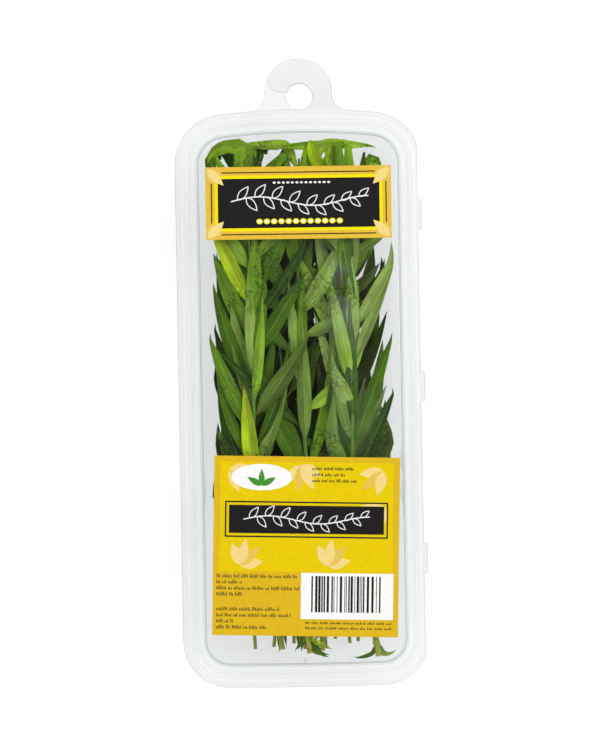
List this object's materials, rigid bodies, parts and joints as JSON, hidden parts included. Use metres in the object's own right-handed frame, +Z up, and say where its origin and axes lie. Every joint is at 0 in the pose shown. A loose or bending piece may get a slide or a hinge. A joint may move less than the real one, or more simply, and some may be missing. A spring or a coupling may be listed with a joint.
{
  "type": "tarragon sprigs in a clear hinged hang pack",
  "caption": "Clear hinged hang pack of cut tarragon: leafy sprigs lie in a deep tray under a shallow lid with printed labels; a holed tab at the top hangs it on a peg.",
  "frame": {"origin": "on the table, under the middle of the closed pack's box", "axes": "+X towards the hinge side, +Y towards the hang tab, +Z up through the lid"},
  "size_m": [0.09, 0.23, 0.0262],
  "materials": {
    "clear_plastic": "gloss",
    "tarragon": "satin",
    "label_top_print": "gloss",
    "label_bottom_print": "gloss"
  },
  "bodies": {
    "tray": {"tray": "clear_plastic", "sprig_01": "tarragon", "sprig_02": "tarragon", "sprig_03": "tarragon", "sprig_04": "tarragon", "sprig_05": "tarragon", "sprig_06": "tarragon", "sprig_07": "tarragon", "sprig_08": "tarragon", "sprig_09": "tarragon", "sprig_10": "tarragon", "sprig_11": "tarragon", "sprig_12": "tarragon", "sprig_13": "tarragon", "sprig_14": "tarragon", "sprig_15": "tarragon", "sprig_16": "tarragon", "sprig_17": "tarragon", "sprig_18": "tarragon"},
    "lid": {"lid": "clear_plastic", "label_top": "label_top_print", "label_bottom": "label_bottom_print"}
  },
  "joints": [
    {"name": "lid_hinge", "type": "hinge", "parent": "tray", "child": "lid", "pos_m": [0.04515, 0, 0.0205], "axis": [0, 1, 0], "range_deg": [0, 180]}
  ]
}
